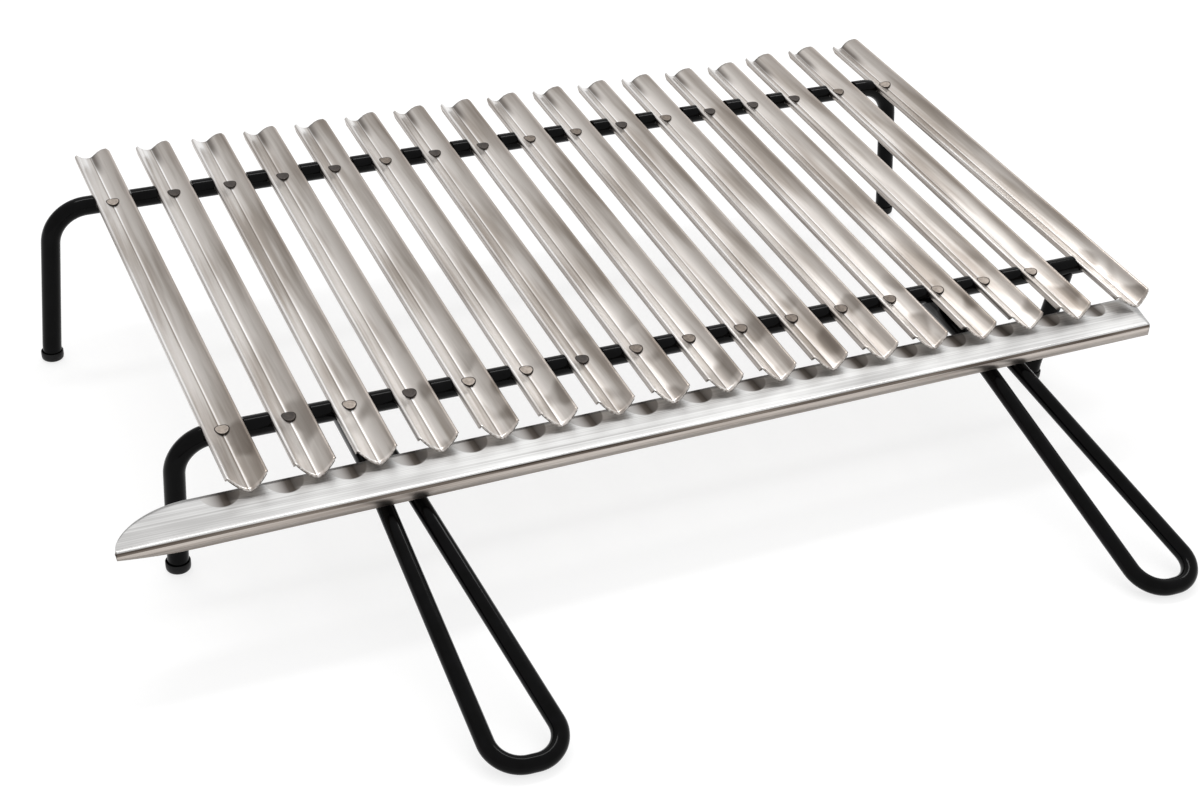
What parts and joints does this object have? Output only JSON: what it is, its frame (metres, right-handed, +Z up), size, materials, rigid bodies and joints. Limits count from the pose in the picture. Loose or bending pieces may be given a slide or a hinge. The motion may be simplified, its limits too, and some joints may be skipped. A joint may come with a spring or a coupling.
{
  "type": "legged grill grate",
  "caption": "Legged grill grate of V-section steel slats pinned across bent black rods, with a front drip gutter and hairpin handles that reach the ground.",
  "frame": {"origin": "centre of the bounding box, on the ground plane", "axes": "+Z up, +X along the bars to the right seen from the front, +Y to the rear along the slats; the handles point to -Y"},
  "size_m": [0.5118, 0.4267, 0.0891],
  "materials": {
    "slat_steel": "brushed along the length, slightly warm",
    "pin_steel": "tarnished flat pin heads",
    "gutter_steel": "bright, finely brushed along the length",
    "black_enamel": "gloss black",
    "foot_rubber": "satin black"
  },
  "bodies": {
    "root": {"slat_01": "slat_steel", "slat_02": "slat_steel", "slat_03": "slat_steel", "slat_04": "slat_steel", "slat_05": "slat_steel", "slat_06": "slat_steel", "slat_07": "slat_steel", "slat_08": "slat_steel", "slat_09": "slat_steel", "slat_10": "slat_steel", "slat_11": "slat_steel", "slat_12": "slat_steel", "slat_13": "slat_steel", "slat_14": "slat_steel", "slat_15": "slat_steel", "slat_16": "slat_steel", "slat_17": "slat_steel", "rear_pin_01": "pin_steel", "rear_pin_02": "pin_steel", "rear_pin_03": "pin_steel", "rear_pin_04": "pin_steel", "rear_pin_05": "pin_steel", "rear_pin_06": "pin_steel", "rear_pin_07": "pin_steel", "rear_pin_08": "pin_steel", "rear_pin_09": "pin_steel", "rear_pin_10": "pin_steel", "rear_pin_11": "pin_steel", "rear_pin_12": "pin_steel", "rear_pin_13": "pin_steel", "rear_pin_14": "pin_steel", "rear_pin_15": "pin_steel", "rear_pin_16": "pin_steel", "rear_pin_17": "pin_steel", "front_pin_01": "pin_steel", "front_pin_02": "pin_steel", "front_pin_03": "pin_steel", "front_pin_04": "pin_steel", "front_pin_05": "pin_steel", "front_pin_06": "pin_steel", "front_pin_07": "pin_steel", "front_pin_08": "pin_steel", "front_pin_09": "pin_steel", "front_pin_10": "pin_steel", "front_pin_11": "pin_steel", "front_pin_12": "pin_steel", "front_pin_13": "pin_steel", "front_pin_14": "pin_steel", "front_pin_15": "pin_steel", "front_pin_16": "pin_steel", "rear_frame": "black_enamel", "front_frame": "black_enamel", "right_front_leg": "black_enamel", "left_handle": "black_enamel", "right_handle": "black_enamel", "rear_left_foot": "foot_rubber", "rear_right_foot": "foot_rubber", "front_left_foot": "foot_rubber", "front_right_foot": "foot_rubber", "drip_gutter": "gutter_steel"}
  },
  "joints": []
}
